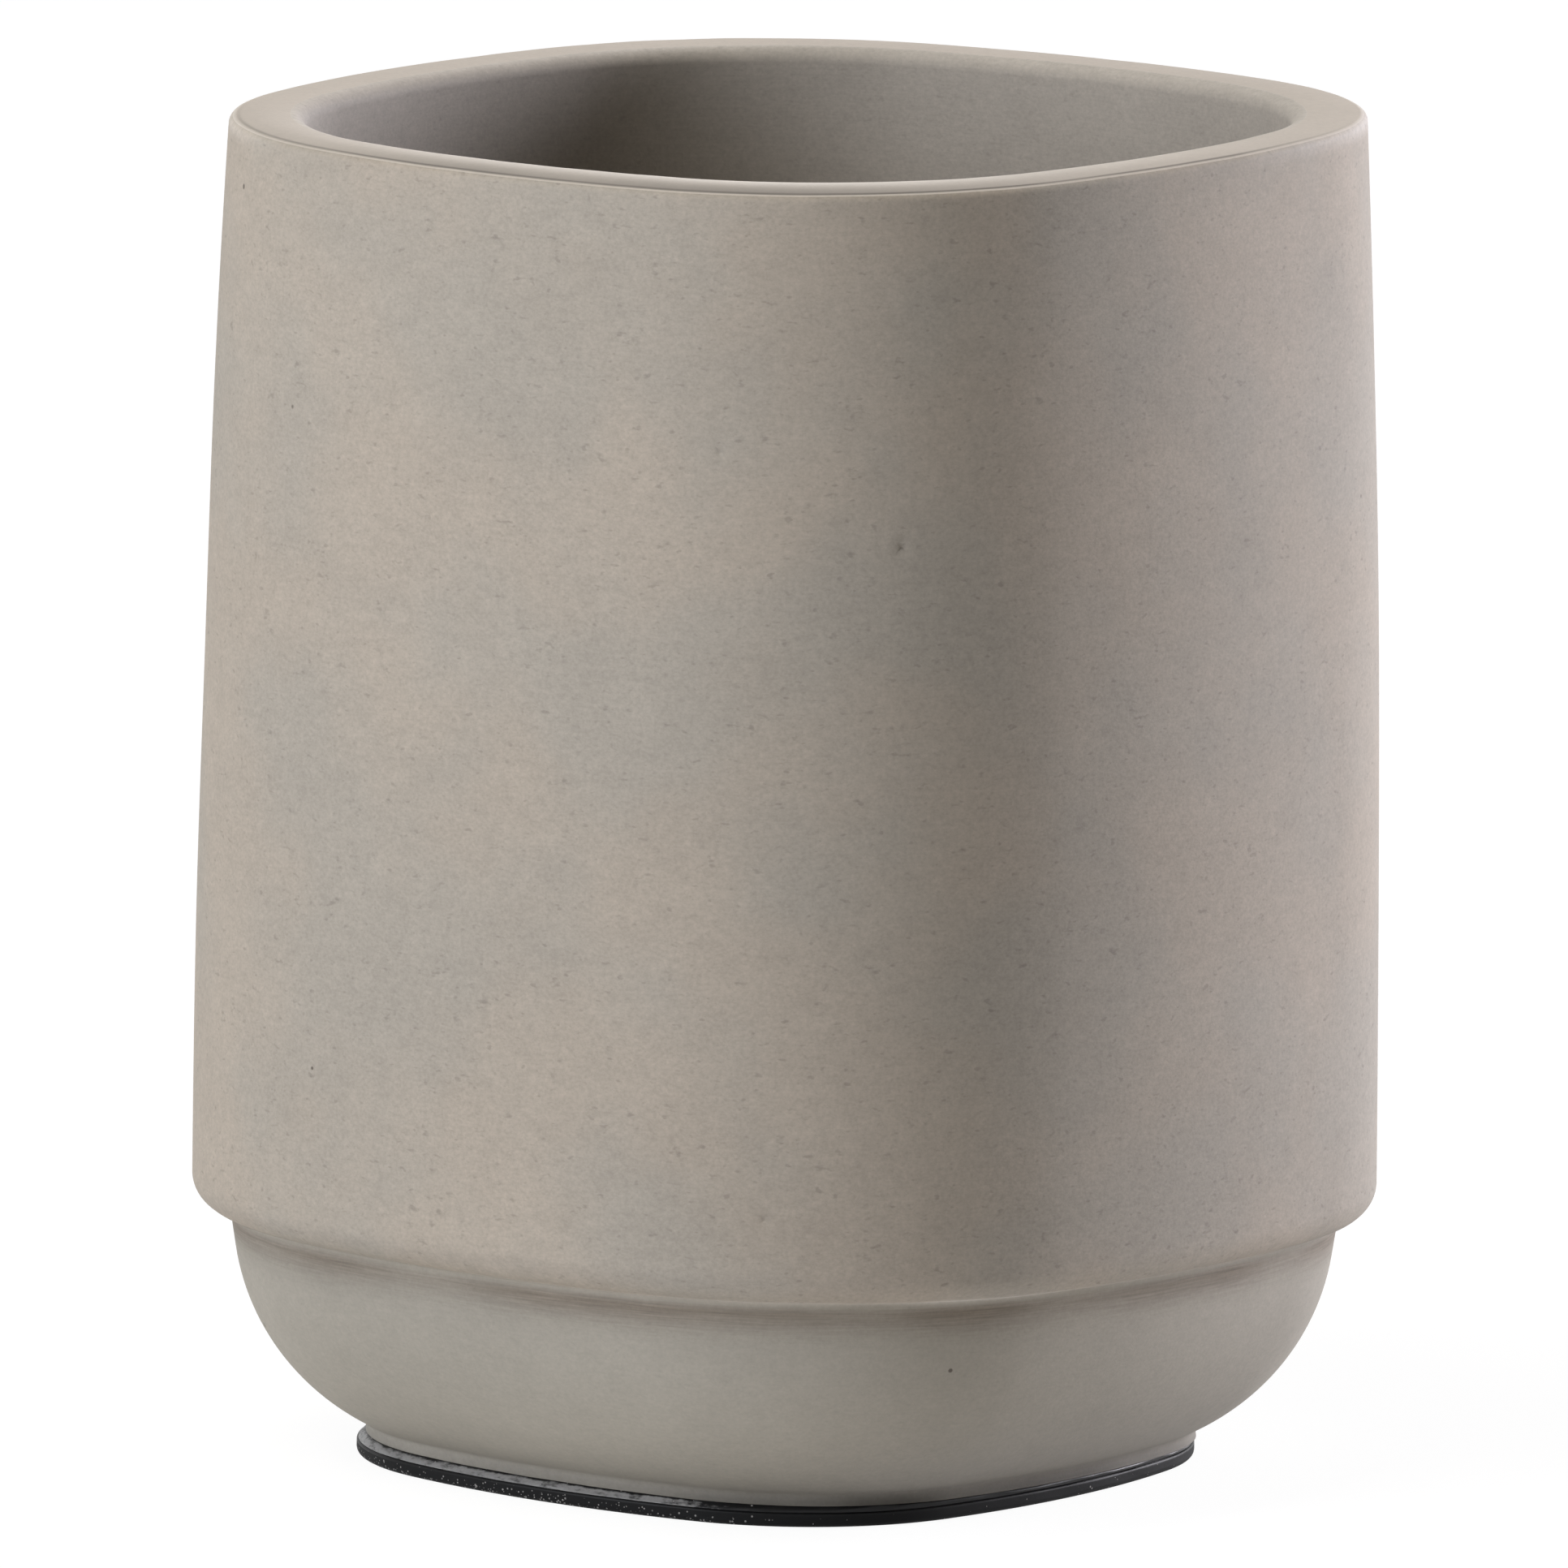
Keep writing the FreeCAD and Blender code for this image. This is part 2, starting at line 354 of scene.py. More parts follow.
def bend(centre, start, end, count):
    """Points on the arc round a centre from one place towards another, which is left out."""
    first = math.atan2(start[1] - centre[1], start[0] - centre[0])
    last = math.atan2(end[1] - centre[1], end[0] - centre[0])
    sweep = (last - first + math.pi) % (2 * math.pi) - math.pi
    angles = first + sweep * np.linspace(0.0, 1.0, count, endpoint=False)
    reach = math.dist(centre, start)
    return np.column_stack((centre[0] + reach * np.cos(angles), centre[1] + reach * np.sin(angles)))


def tangent_centre(start, heading, end):
    """Centre of the arc that leaves a place at a heading from straight up and meets an end."""
    normal = (math.cos(heading), -math.sin(heading))
    chord = (end[0] - start[0], end[1] - start[1])
    reach = (chord[0] ** 2 + chord[1] ** 2) / (2 * (chord[0] * normal[0] + chord[1] * normal[1]))
    return (start[0] + reach * normal[0], start[1] + reach * normal[1])


def toward(centre, place, reach):
    """Place at a reach from a centre, in the direction of another place."""
    away = math.dist(centre, place)
    return tuple(c + (p - c) * reach / away for c, p in zip(centre, place))


def cup_outline(s):
    """Zones of the cup from the foot's underside, up over the rim and down to the floor inside."""
    # Bowl and foot
    neck = (-s.foot_inset, s.foot_level + s.foot_height)
    bowl_top = (-s.step_inset, s.step_level)
    bowl_bend = (bowl_top[0] - s.bowl_straight * math.sin(s.bowl_draft),
                 bowl_top[1] - s.bowl_straight * math.cos(s.bowl_draft))
    bowl_centre = tangent_centre(bowl_bend, math.pi + s.bowl_draft, neck)
    bowl_radius = math.dist(bowl_centre, neck)
    fillet_side = -s.foot_inset + s.neck_fillet
    fillet_drop = math.sqrt((bowl_radius + s.neck_fillet) ** 2 - (fillet_side - bowl_centre[0]) ** 2)
    fillet_centre = (fillet_side, bowl_centre[1] - fillet_drop)
    bowl_end = toward(bowl_centre, fillet_centre, bowl_radius)
    foot_top = (-s.foot_inset, fillet_centre[1])
    # Step and wall
    step_edge = (-s.step_round, s.step_level)
    wall_bottom = (0.0, s.step_level + s.step_round)
    wall_centre = tangent_centre(wall_bottom, 0.0, (-s.rim_inset, s.top_level))
    wall_radius = math.dist(wall_centre, wall_bottom)
    inward = math.copysign(1.0, wall_bottom[0] - wall_centre[0])
    face_edge = s.top_level - s.rim_crown
    quirk_level = face_edge - s.quirk_depth
    rim_level = quirk_level - s.rim_outer_round
    rim_reach = math.sqrt((wall_radius - inward * s.rim_outer_round) ** 2 - (rim_level - wall_centre[1]) ** 2)
    rim_centre = (wall_centre[0] + inward * rim_reach, rim_level)
    wall_top = toward(wall_centre, rim_centre, wall_radius)
    rim_out = (rim_centre[0], quirk_level)
    # Mouth and inside
    slope = s.cavity_draft
    mouth = -s.rim_inset - s.rim_wall
    lip_side = mouth + s.rim_inner_round * (1 - math.sin(slope)) / math.cos(slope)
    lip_side -= s.rim_crown * math.tan(slope)
    lip_centre = (lip_side, face_edge - s.rim_inner_round)
    normal = (-math.cos(slope), math.sin(slope))
    lip_end = tuple(c + s.rim_inner_round * n for c, n in zip(lip_centre, normal))
    floor_level = s.foot_level + s.base_thickness
    round_level = floor_level + s.floor_round
    floor_side = mouth - (s.floor_round + (s.top_level - round_level) * math.sin(slope)) / math.cos(slope)
    floor_centre = (floor_side, round_level)
    inside_end = tuple(c - s.floor_round * n for c, n in zip(floor_centre, normal))
    # Crowned face of the rim, which drops a little to its outer edge
    crisp = s.quirk_break
    flat_out = rim_out[0] - s.quirk_ledge
    drop_out = [rim_out, (flat_out + crisp, quirk_level)]
    face = graded((flat_out - crisp, face_edge), (lip_side, face_edge), CUP_ROWS["rim"])
    from_middle = (face[:, 0] - (flat_out + lip_side) / 2) / ((flat_out - lip_side) / 2)
    face[:, 1] += s.rim_crown * (1 - from_middle ** 2)
    return [
        ("foot", run((-s.foot_inset, s.foot_level), foot_top, CUP_ROWS["foot"])),
        ("neck", bend(fillet_centre, foot_top, bowl_end, CUP_ROWS["neck"])),
        ("bowl", bend(bowl_centre, bowl_end, bowl_bend, CUP_ROWS["bowl"])),
        ("straight", run(bowl_bend, bowl_top, CUP_ROWS["straight"])),
        ("under", run(bowl_top, step_edge, CUP_ROWS["under"])),
        ("step", bend((-s.step_round, wall_bottom[1]), step_edge, wall_bottom, CUP_ROWS["step"])),
        ("wall", bend(wall_centre, wall_bottom, wall_top, CUP_ROWS["wall"])),
        ("edge", bend(rim_centre, wall_top, rim_out, CUP_ROWS["edge"])),
        ("quirk", np.array(drop_out)),
        ("rim", face),
        ("lip", bend(lip_centre, (lip_side, face_edge), lip_end, CUP_ROWS["lip"])),
        ("inside", run(lip_end, inside_end, CUP_ROWS["inside"])),
        ("round", bend(floor_centre, inside_end, (floor_side, floor_level), CUP_ROWS["round"])),
        ("floor", np.array([(floor_side, floor_level)])),
    ]


def pad_outline(cup, pad):
    """Zones of the pad's side, from its underside to its top."""
    side = (pad_high.x - pad_low.x - cup.body_width) / 2
    top = pad_high.z
    low_centre = (side - pad.bottom_round, pad.bottom_round)
    high_centre = (side - pad.top_round, top - pad.top_round)
    side_start = (side, pad.bottom_round)
    shoulder_start = (side, high_centre[1])
    shoulder_end = (high_centre[0], top)
    return [
        ("round", bend(low_centre, (low_centre[0], 0.0), side_start, PAD_ROWS["round"])),
        ("side", run(side_start, shoulder_start, PAD_ROWS["side"])),
        ("shoulder", bend(high_centre, shoulder_start, shoulder_end, PAD_ROWS["shoulder"])),
        ("top", np.array([shoulder_end])),
    ]


# Sweeping an outline round the plan

def plan_columns(s):
    """Centre, radius and facing of every column round the plan's four bowed sides and four corners."""
    side_centre = s.side_radius - s.body_width / 2
    reach = 2 * (s.side_radius - s.corner_radius) ** 2 - side_centre ** 2
    corner_centre = (math.sqrt(reach) - side_centre) / 2
    corner_reach = corner_centre * math.sqrt(2)
    side_angle = math.atan2(corner_centre, corner_centre + side_centre)
    corner_angle = math.pi / 4 - side_angle
    centres, radii, facings = [], [], []
    for quarter in range(4):
        middle = quarter * math.pi / 2
        diagonal = middle + math.pi / 4
        pieces = (
            (middle, -side_centre, s.side_radius, side_angle, SIDE_COLUMNS),
            (diagonal, corner_reach, s.corner_radius, corner_angle, CORNER_COLUMNS),
        )
        for facing, away, radius, spread, count in pieces:
            angles = facing + np.linspace(-spread, spread, count, endpoint=False)
            centres.append(np.tile((away * math.cos(facing), away * math.sin(facing)), (count, 1)))
            radii.append(np.full(count, radius))
            facings.append(angles)
    return np.concatenate(centres), np.concatenate(radii), np.concatenate(facings)


def swept_rows(columns, outline):
    """Grid of points, row by row, and the zone of each row."""
    centres, radii, facings = columns
    rows = np.concatenate([points for zone, points in outline])
    zones = np.concatenate([[zone] * len(points) for zone, points in outline])
    reach = radii[None, :] + rows[:, :1]
    grid = np.empty((len(rows), len(radii), 3))
    grid[..., 0] = centres[None, :, 0] + reach * np.cos(facings)[None, :]
    grid[..., 1] = centres[None, :, 1] + reach * np.sin(facings)[None, :]
    grid[..., 2] = rows[:, 1:]
    return grid, zones


def with_ends(grid, zones, rings):
    """Grid closed in towards the axis by shrunken rings before its first row and after its last."""
    def shrunk(row, shares):
        copies = np.repeat(row[None], len(shares), axis=0)
        copies[..., :2] *= shares[:, None, None]
        return copies
    shares = np.linspace(1.0, 0.0, rings + 1, endpoint=False)[1:]
    first = shrunk(grid[0], shares[::-1])
    last = shrunk(grid[-1], shares)
    zones = np.concatenate((["under_cap"] * rings, zones, ["floor"] * rings))
    return np.concatenate((first, grid, last)), zones


def leaned(points, s):
    """Points with the casting's slight lean, which changes evenly from the foot to the rim."""
    rise = points[..., 2] / s.top_level
    tilt = math.tan(s.foot_lean) * (1 - rise) - math.tan(s.rim_lean) * rise
    along = points[..., 0] * math.cos(s.lean_facing) + points[..., 1] * math.sin(s.lean_facing)
    moved = points.copy()
    moved[..., 2] -= tilt * along
    return moved


def grid_normals(grid):
    """Outward direction at every point of a grid that closes on itself round its columns."""
    along = np.roll(grid, -1, axis=1) - np.roll(grid, 1, axis=1)
    across = np.gradient(grid, axis=0)
    normals = np.cross(along, across)
    return normals / np.maximum(np.linalg.norm(normals, axis=2, keepdims=True), TINY)


def waves(points, rng, longest, count=SLOW_WAVES):
    """Smooth uneven field over points, about -1 to 1, made of waves in many directions."""
    total = np.zeros(points.shape[:-1])
    for number in range(count):
        heading = rng.normal(size=3)
        heading /= np.linalg.norm(heading)
        wavelength = longest * rng.uniform(SHORTEST_WAVE, 1.0)
        total += np.sin(points @ heading * (2 * math.pi / wavelength) + rng.uniform(0, 2 * math.pi))
    return total / math.sqrt(count)


def patchiness(points, rng, longest):
    """Smooth patches over points, 0 to 1."""
    return np.clip(0.5 + 0.5 * waves(points, rng, longest), 0, 1)


def falloff(distance, reach):
    """1 at no distance, fading smoothly over a reach."""
    return np.exp(-(distance / reach) ** 2)


def lifted(shares, least):
    """Shares of 0 to 1, lifted to start at a least one."""
    return least + (1 - least) * shares


def grid_mesh(name, grid, face_slots):
    """Closed mesh from a grid, with a point on the axis at each end and a material slot for each band."""
    rows, columns = grid.shape[:2]
    points = np.concatenate((grid.reshape(-1, 3), grid[[0, -1]].mean(axis=1)))
    index = np.arange(rows * columns).reshape(rows, columns)
    beside = np.roll(index, -1, axis=1)
    quads = np.stack((index[:-1], beside[:-1], beside[1:], index[1:]), axis=-1).reshape(-1, 4)
    low, high = rows * columns, rows * columns + 1
    faces = quads.tolist()
    faces += [(low, b, a) for a, b in zip(index[0].tolist(), beside[0].tolist())]
    faces += [(high, a, b) for a, b in zip(index[-1].tolist(), beside[-1].tolist())]
    mesh = bpy.data.meshes.new(name)
    mesh.from_pydata(points.tolist(), [], faces)
    slots = np.concatenate((np.repeat(face_slots[:-1], columns), np.full(columns, face_slots[0]),
                            np.full(columns, face_slots[-1])))
    mesh.polygons.foreach_set("material_index", slots.astype(np.int32))
    mesh.polygons.foreach_set("use_smooth", np.ones(len(faces), bool))
    return mesh


def add_amount(mesh, name, amounts):
    """Keeps an amount at every point of a grid mesh, for its materials to read."""
    values = np.concatenate((amounts.reshape(-1), amounts[[0, -1]].mean(axis=1)))
    mesh.attributes.new(name, "FLOAT", "POINT").data.foreach_set("value", values.astype(np.float32))


def facing_share(facing, middle, sharpness):
    """1 where a facing is the middle direction, falling to 0 at the opposite one."""
    return (0.5 + 0.5 * np.cos(facing - middle)) ** sharpness


def side_share(facing, middle, spread, fading):
    """1 where a facing is within a spread of a middle direction and 0 elsewhere, with a fading between."""
    away = np.abs((facing - middle + math.pi) % (2 * math.pi) - math.pi)
    return np.clip((spread - away) / fading + 0.5, 0, 1)


def dusty_share(grid, finishes):
    """Share of the dust at every point, from 1 on the dusty side down to little on the other."""
    facing = np.arctan2(grid[..., 1], grid[..., 0])
    dusty = side_share(facing, finishes.dusty_facing, finishes.dusty_spread, finishes.dusty_fading)
    return lifted(dusty, finishes.least_dust)


def press_pits(mesh, faces, thickness, depth):
    """Presses a small pit into each of the faces."""
    work = bmesh.new()
    work.from_mesh(mesh)
    work.faces.ensure_lookup_table()
    bmesh.ops.inset_individual(
        work, faces=[work.faces[f] for f in faces], thickness=thickness, depth=-depth, use_even_offset=True
    )
    work.to_mesh(mesh)
    work.free()


def place_piece(name, mesh, materials, replaced):
    """Adds a piece that stands for a CAD node and rides with it."""
    piece = bpy.data.objects.new(name, mesh)
    bpy.context.scene.collection.objects.link(piece)
    for material in materials:
        mesh.materials.append(material)
    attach(piece, "root")
    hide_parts(replaced)


# Shader nodes

def feed(tree, socket, value):
    """Links a socket to another, or sets its value."""
    if isinstance(value, bpy.types.NodeSocket):
        tree.links.new(value, socket)
    else:
        socket.default_value = value


def calc(tree, operation, *values, clamp=False):
    """A sum on values."""
    node = tree.nodes.new("ShaderNodeMath")
    node.operation = operation
    node.use_clamp = clamp
    for socket, value in zip(node.inputs, values):
        feed(tree, socket, value)
    return node.outputs[0]


def fade(tree, value, low, high):
    """0 below one value and 1 above another, smooth between them."""
    node = tree.nodes.new("ShaderNodeMapRange")
    node.interpolation_type = "SMOOTHSTEP"
    feed(tree, node.inputs["Value"], value)
    feed(tree, node.inputs["From Min"], low)
    feed(tree, node.inputs["From Max"], high)
    return node.outputs["Result"]


def scaled(tree, vector, factors):
    """Vector times factors."""
    node = tree.nodes.new("ShaderNodeVectorMath")
    node.operation = "MULTIPLY"
    feed(tree, node.inputs[0], vector)
    feed(tree, node.inputs[1], factors)
    return node.outputs[0]


def noise(tree, vector, size, detail=2.0, roughness=0.5):
    """Soft noise, 0 to 1, with spots of about a size in metres."""
    node = tree.nodes.new("ShaderNodeTexNoise")
    feed(tree, node.inputs["Vector"], vector)
    node.inputs["Scale"].default_value = 1 / size
    node.inputs["Detail"].default_value = detail
    node.inputs["Roughness"].default_value = roughness
    return node.outputs["Fac"]


def mix(tree, factor, first, second, blend="MIX"):
    """Blend of two colours, by the node's sockets for colours."""
    node = tree.nodes.new("ShaderNodeMix")
    node.data_type = "RGBA"
    node.blend_type = blend
    feed(tree, node.inputs[0], factor)
    feed(tree, node.inputs[6], first)
    feed(tree, node.inputs[7], second)
    return node.outputs[2]


def solid(tone):
    """Colour with full alpha."""
    return (*tone, 1.0)


def effect(name, inputs, outputs, build):
    """Node group of an effect, built once. Inputs are name, kind and default; outputs are name and kind."""
    if name in bpy.data.node_groups:
        return bpy.data.node_groups[name]
    tree = bpy.data.node_groups.new(name, "ShaderNodeTree")
    for label, kind, default in inputs:
        socket = tree.interface.new_socket(name=label, in_out="INPUT", socket_type="NodeSocket" + kind)
        if default is not None:
            socket.default_value = default
    for label, kind in outputs:
        tree.interface.new_socket(name=label, in_out="OUTPUT", socket_type="NodeSocket" + kind)
    given = tree.nodes.new("NodeGroupInput").outputs
    wanted = tree.nodes.new("NodeGroupOutput").inputs
    for label, value in build(tree, given).items():
        feed(tree, wanted[label], value)
    return tree


def place_effect(tree, group, **values):
    """An effect placed in a material, with its inputs given by name."""
    node = tree.nodes.new("ShaderNodeGroup")
    node.node_tree = group
    for label, value in values.items():
        feed(tree, node.inputs[label], value)
    return node.outputs


def about_one(tree, value, depth):
    """Multiplier near 1 from a 0 to 1 value."""
    centred = calc(tree, "MULTIPLY_ADD", value, 2.0, -1.0)
    return calc(tree, "MULTIPLY_ADD", centred, depth, 1.0)


def scattered(tree, vector, scale):
    """Distance to the nearest of many scattered places, and two random values of that place."""
    cells = tree.nodes.new("ShaderNodeTexVoronoi")
    feed(tree, cells.inputs["Vector"], vector)
    feed(tree, cells.inputs["Scale"], scale)
    picked = tree.nodes.new("ShaderNodeSeparateColor")
    feed(tree, picked.inputs[0], cells.outputs["Color"])
    return cells.outputs["Distance"], picked.outputs[0], picked.outputs[1]


def mottle_effect():
    """Cloudy patches, small blotches and flecks of cast concrete."""
    patch_share = 0.4

    def build(tree, given):
        flattened = scaled(tree, given["Position"], factors=(1.0, 1.0, 1.6))
        clouds = noise(tree, flattened, size=0.024, detail=3.0, roughness=0.55)
        patches = noise(tree, flattened, size=0.0034, detail=2.0, roughness=0.55)
        blotches = noise(tree, flattened, size=0.0010, detail=1.0, roughness=0.5)
        small = calc(tree, "MULTIPLY", blotches, 1 - patch_share)
        small = calc(tree, "MULTIPLY_ADD", patches, patch_share, small)
        cloudy = about_one(tree, clouds, given["Clouds"])
        shade = calc(tree, "MULTIPLY", cloudy, about_one(tree, small, given["Blotches"]))
        flatter = scaled(tree, given["Position"], factors=(1.0, 1.0, 2.0))
        spots = noise(tree, flatter, size=0.0009, detail=1.5, roughness=0.6)
        flecks = fade(tree, spots, low=0.62, high=0.76)
        darkening = calc(tree, "MULTIPLY", given["Flecks"], -1.0)
        shade = calc(tree, "MULTIPLY", shade, calc(tree, "MULTIPLY_ADD", flecks, darkening, 1.0))
        warm = noise(tree, given["Position"], size=0.018, detail=2.0, roughness=0.6)
        return {"Shade": shade, "Warmth": fade(tree, warm, low=0.35, high=0.65)}
    inputs = (("Position", "Vector", None), ("Clouds", "Float", 0.08), ("Blotches", "Float", 0.06),
              ("Flecks", "Float", 0.1))
    return effect("Cast mottle", inputs, (("Shade", "Float"), ("Warmth", "Float")), build)


def grain_effect():
    """Fine sandy grain."""
    def build(tree, given):
        flattened = scaled(tree, given["Position"], factors=(1.0, 1.0, 1.3))
        grain = noise(tree, flattened, size=0.00034, detail=2.0, roughness=0.7)
        return {"Shade": about_one(tree, grain, given["Depth"]), "Height": grain}
    inputs = (("Position", "Vector", None), ("Depth", "Float", 0.06))
    return effect("Fine grain", inputs, (("Shade", "Float"), ("Height", "Float")), build)


def pinhole_effect():
    """Scattered pinholes left by air bubbles."""
    left_out = 0.86
    smallest = 0.35
    core = 0.55

    def build(tree, given):
        scale = calc(tree, "DIVIDE", 1.0, given["Spacing"])
        distance, pick, size = scattered(tree, given["Position"], scale)
        chosen = calc(tree, "GREATER_THAN", pick, left_out)
        reach = calc(tree, "MULTIPLY", given["Reach"], calc(tree, "ADD", size, smallest))
        hole = fade(tree, distance, reach, calc(tree, "MULTIPLY", reach, core))
        return {"Mask": calc(tree, "MULTIPLY", hole, chosen)}
    inputs = (("Position", "Vector", None), ("Spacing", "Float", 0.004), ("Reach", "Float", 0.06))
    return effect("Pinholes", inputs, (("Mask", "Float"),), build)


def rubbed_effect():
    """Fine level lines left where the casting was rubbed down."""
    def build(tree, given):
        flattened = scaled(tree, given["Position"], factors=(1.0, 1.0, 34.0))
        lines = noise(tree, flattened, size=0.0052, detail=2.0, roughness=0.6)
        return {"Shade": about_one(tree, lines, given["Depth"]), "Height": lines}
    inputs = (("Position", "Vector", None), ("Depth", "Float", 0.1))
    return effect("Rubbed lines", inputs, (("Shade", "Float"), ("Height", "Float")), build)


def dust_effect():
    """Pale specks of dust, thicker where the amount is higher."""
    spacing = 0.00022
    smallest = 0.2
    variation = 0.3
    core = 0.5

    def build(tree, given):
        distance, pick, size = scattered(tree, given["Position"], 1 / spacing)
        chosen = calc(tree, "LESS_THAN", pick, given["Amount"])
        reach = calc(tree, "MULTIPLY_ADD", size, variation, smallest)
        speck = fade(tree, distance, reach, calc(tree, "MULTIPLY", reach, core))
        return {"Mask": calc(tree, "MULTIPLY", speck, chosen)}
    inputs = (("Position", "Vector", None), ("Amount", "Float", 0.1))
    return effect("Dust specks", inputs, (("Mask", "Float"),), build)


def new_material(name):
    """Material with its shader, its tree and the position on the piece."""
    material = bpy.data.materials.new(name)
    material.use_nodes = True
    tree = material.node_tree
    shader = tree.nodes["Principled BSDF"]
    position = tree.nodes.new("ShaderNodeTexCoord").outputs["Object"]
    return material, tree, shader, position


def amount(tree, name):
    """Amount that a mesh keeps at its points."""
    node = tree.nodes.new("ShaderNodeAttribute")
    node.attribute_name = name
    return node.outputs["Fac"]


def bumped(tree, shader, height, depth):
    """Gives a shader small relief, with a depth in metres."""
    node = tree.nodes.new("ShaderNodeBump")
    node.inputs["Distance"].default_value = depth
    node.inputs["Strength"].default_value = 1.0
    feed(tree, node.inputs["Height"], height)
    tree.links.new(node.outputs["Normal"], shader.inputs["Normal"])


def concrete(name, cool, warm, *, clouds, blotches, flecks, grain, rubbed, pit_spacing, pit_reach,
             roughness, relief):
    """Cast concrete in two tones with mottle, grain, pinholes and rubbed lines, and the painted highlights
    and shade that the mesh keeps.
    """
    line_shade = 0.45
    line_relief = 0.6
    painted_shade_strength = 0.65
    pit_relief = 2.0
    grain_roughness = 0.2
    finishes = bpy.context.scene.tumbler_finishes
    material, tree, shader, position = new_material(name)
    mottle = place_effect(
        tree, mottle_effect(), Position=position, Clouds=clouds, Blotches=blotches, Flecks=flecks
    )
    sand = place_effect(tree, grain_effect(), Position=position, Depth=grain)
    holes = place_effect(tree, pinhole_effect(), Position=position, Spacing=pit_spacing, Reach=pit_reach)
    band = calc(tree, "MULTIPLY_ADD", amount(tree, "rubbed"), 1.0 - rubbed, rubbed)
    line_depth = calc(tree, "MULTIPLY", band, line_shade)
    lines = place_effect(tree, rubbed_effect(), Position=position, Depth=line_depth)
    tone = mix(tree, mottle["Warmth"], solid(cool), solid(warm))
    # Rubbed band under the step, partly painted shade
    tone = mix(tree, amount(tree, "rubbed"), tone, solid(finishes.rubbed_and_shaded_tone))
    # Painted highlights from the worn amount along rim and step edges, partly worn edges
    tone = mix(tree, amount(tree, "worn"), tone, solid(finishes.highlight_and_wear_tone))
    shade = calc(tree, "MULTIPLY", calc(tree, "MULTIPLY", mottle["Shade"], sand["Shade"]), lines["Shade"])
    # Darkening by this amount is painted shade on the foot's lip, the worn rim's outer part and the rim's
    # tiny drop
    clean = calc(tree, "MULTIPLY_ADD", amount(tree, "grime"), -painted_shade_strength, 1.0)
    shade = calc(tree, "MULTIPLY", shade, clean)
    tone = mix(tree, 1.0, tone, shade, "MULTIPLY")
    tone = mix(tree, holes["Mask"], tone, solid(finishes.pit_tone))
    feed(tree, shader.inputs["Base Color"], tone)
    rough = calc(tree, "MULTIPLY_ADD", sand["Height"], grain_roughness, roughness, clamp=True)
    feed(tree, shader.inputs["Roughness"], rough)
    shader.inputs["Specular IOR Level"].default_value = 0.2
    line_height = calc(tree, "MULTIPLY", band, line_relief)
    height = calc(tree, "MULTIPLY_ADD", lines["Height"], line_height, sand["Height"])
    height = calc(tree, "MULTIPLY_ADD", holes["Mask"], -pit_relief, height)
    bumped(tree, shader, height, relief)
    return material


def two_tones(tone, spread):
    """A little darker and a little lighter than a colour."""
    return Vector(tone) * (1 - spread), Vector(tone) * (1 + spread)


def cup_materials():
    """Materials of the cup, in the order of its slots."""
    finishes = bpy.context.scene.tumbler_finishes
    return (
        concrete("Concrete wall", finishes.wall_cool, finishes.wall_warm, **WALL_CAST),
        concrete("Concrete rim", *two_tones(finishes.rim_tone, finishes.rim_spread), **RIM_CAST),
        concrete("Concrete inside", *two_tones(finishes.inside_tone, finishes.cast_spread), **INSIDE_CAST),
        concrete("Concrete bowl", *two_tones(finishes.bowl_tone, finishes.cast_spread), **BOWL_CAST),
    )


def rubber():
    """Black rubber, glossier on its rounded shoulder, with pores and dust."""
    plain_roughness = 0.62
    shoulder_gloss = 0.24
    pore_roughness = 0.12
    relief = 0.00001
    finishes = bpy.context.scene.tumbler_finishes
    material, tree, shader, position = new_material("Black rubber")
    sand = place_effect(tree, grain_effect(), Position=position, Depth=0.25)
    dust = place_effect(tree, dust_effect(), Position=position, Amount=amount(tree, "dust"))
    tone = mix(tree, 1.0, solid(finishes.rubber_tone), sand["Shade"], "MULTIPLY")
    feed(tree, shader.inputs["Base Color"], mix(tree, dust["Mask"], tone, solid(finishes.dust_tone)))
    shader.inputs["Specular IOR Level"].default_value = 0.12
    rough = calc(tree, "MULTIPLY_ADD", amount(tree, "gloss"), -shoulder_gloss, plain_roughness)
    rough = calc(tree, "MULTIPLY_ADD", sand["Height"], pore_roughness, rough, clamp=True)
    feed(tree, shader.inputs["Roughness"], rough)
    bumped(tree, shader, calc(tree, "ADD", sand["Height"], dust["Mask"]), relief)
    return material


